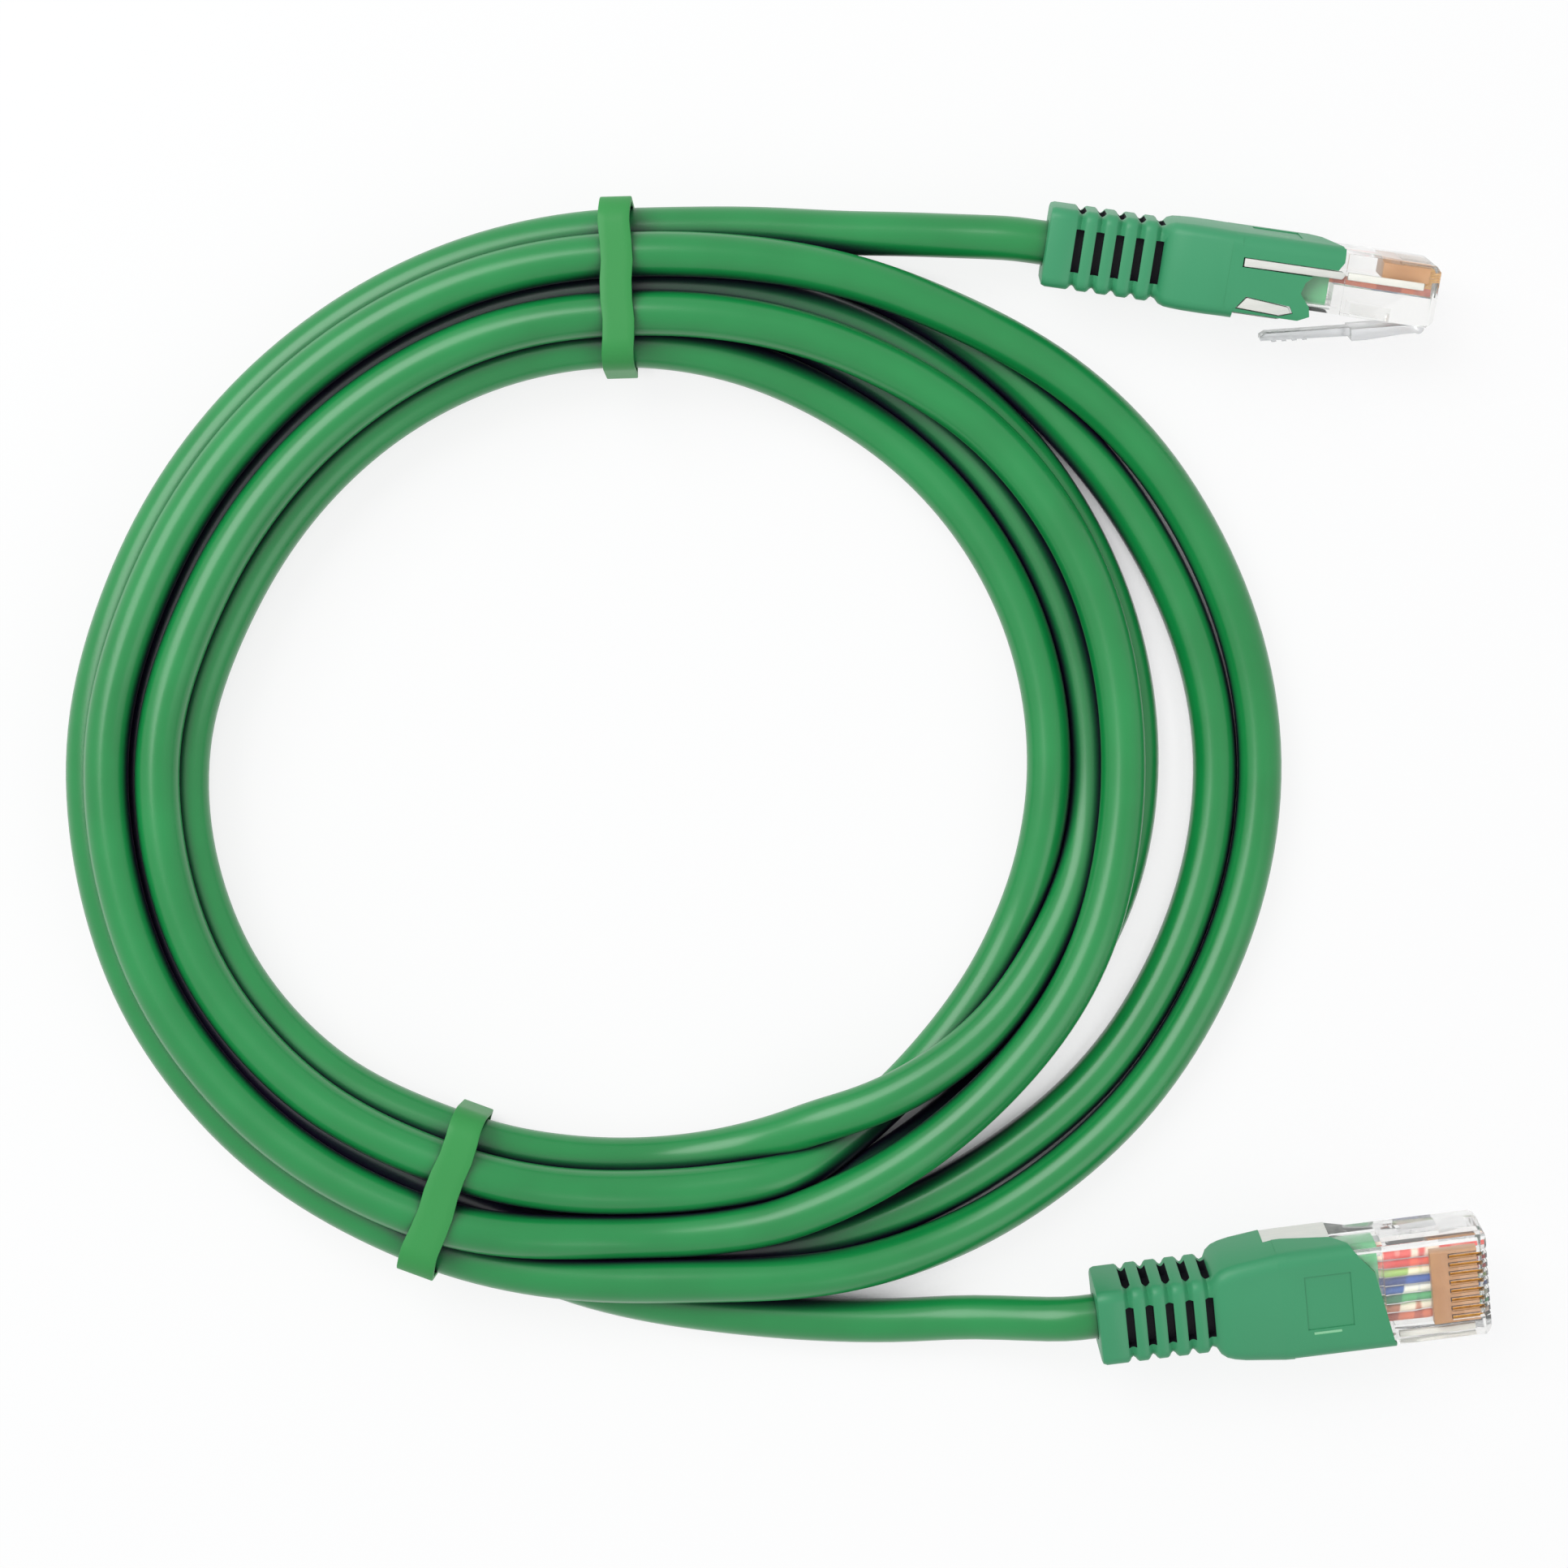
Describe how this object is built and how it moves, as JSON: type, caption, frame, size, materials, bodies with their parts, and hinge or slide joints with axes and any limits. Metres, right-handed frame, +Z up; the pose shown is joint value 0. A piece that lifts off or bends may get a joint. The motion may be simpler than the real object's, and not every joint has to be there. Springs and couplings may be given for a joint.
{
  "type": "ethernet patch cable",
  "caption": "Coiled round network patch cord held by two flat ties, with a clear modular plug, ribbed boot and springy latch at each end.",
  "frame": {"origin": "on the surface the cable lies on, under the centre of its bounding box", "axes": "+Z up; +X towards the two plugs, along the longer side of the coiled cable; +Y from plug B's side to plug A's side"},
  "size_m": [0.1536, 0.1252, 0.0141],
  "materials": {
    "cable_jacket": "satin green PVC jacket",
    "boot": "soft satin green PVC moulding",
    "tie_band": "flat matte green plastic band",
    "tie_wire": "annealed steel wire",
    "clear_plastic": "clear polished polycarbonate",
    "gold_contact": "gold-plated phosphor bronze",
    "copper": "bare copper",
    "wire_white_orange": "solid-colour wire insulation",
    "wire_orange": "solid-colour wire insulation",
    "wire_white_green": "solid-colour wire insulation",
    "wire_blue": "solid-colour wire insulation",
    "wire_white_blue": "solid-colour wire insulation",
    "wire_green": "solid-colour wire insulation",
    "wire_white_brown": "solid-colour wire insulation",
    "wire_brown": "solid-colour wire insulation"
  },
  "bodies": {
    "root": {"cable_coil": "cable_jacket", "cable_outer_turns": "cable_jacket", "cable_tail_a": "cable_jacket", "cable_tail_b": "cable_jacket", "tie_top": "tie_band", "tie_top_core": "tie_wire", "tie_bottom": "tie_band", "tie_bottom_core": "tie_wire", "boot_a": "boot", "housing_a": "clear_plastic", "jacket_end_a": "cable_jacket", "conductors_a": "copper", "contact_a1": "gold_contact", "contact_a2": "gold_contact", "contact_a3": "gold_contact", "contact_a4": "gold_contact", "contact_a5": "gold_contact", "contact_a6": "gold_contact", "contact_a7": "gold_contact", "contact_a8": "gold_contact", "wire_a1": "wire_white_orange", "wire_a2": "wire_orange", "wire_a3": "wire_white_green", "wire_a4": "wire_blue", "wire_a5": "wire_white_blue", "wire_a6": "wire_green", "wire_a7": "wire_white_brown", "wire_a8": "wire_brown", "boot_b": "boot", "housing_b": "clear_plastic", "jacket_end_b": "cable_jacket", "conductors_b": "copper", "contact_b1": "gold_contact", "contact_b2": "gold_contact", "contact_b3": "gold_contact", "contact_b4": "gold_contact", "contact_b5": "gold_contact", "contact_b6": "gold_contact", "contact_b7": "gold_contact", "contact_b8": "gold_contact", "wire_b1": "wire_white_orange", "wire_b2": "wire_orange", "wire_b3": "wire_white_green", "wire_b4": "wire_blue", "wire_b5": "wire_white_blue", "wire_b6": "wire_green", "wire_b7": "wire_white_brown", "wire_b8": "wire_brown"},
    "latch_a": {"latch_a": "clear_plastic"},
    "latch_b": {"latch_b": "clear_plastic"}
  },
  "joints": [
    {"name": "latch_a_press", "type": "hinge", "parent": "root", "child": "latch_a", "pos_m": [0.06872, 0.04933, 0.00621], "axis": [0.0345, 0.2394, -0.9703], "range_deg": [0, 6], "stiffness_Nm_per_rad": 0.03},
    {"name": "latch_b_press", "type": "hinge", "parent": "root", "child": "latch_b", "pos_m": [0.07454, -0.05185, 0.00483], "axis": [-0.1182, 0.949, 0.2924], "range_deg": [0, 6], "stiffness_Nm_per_rad": 0.03}
  ]
}
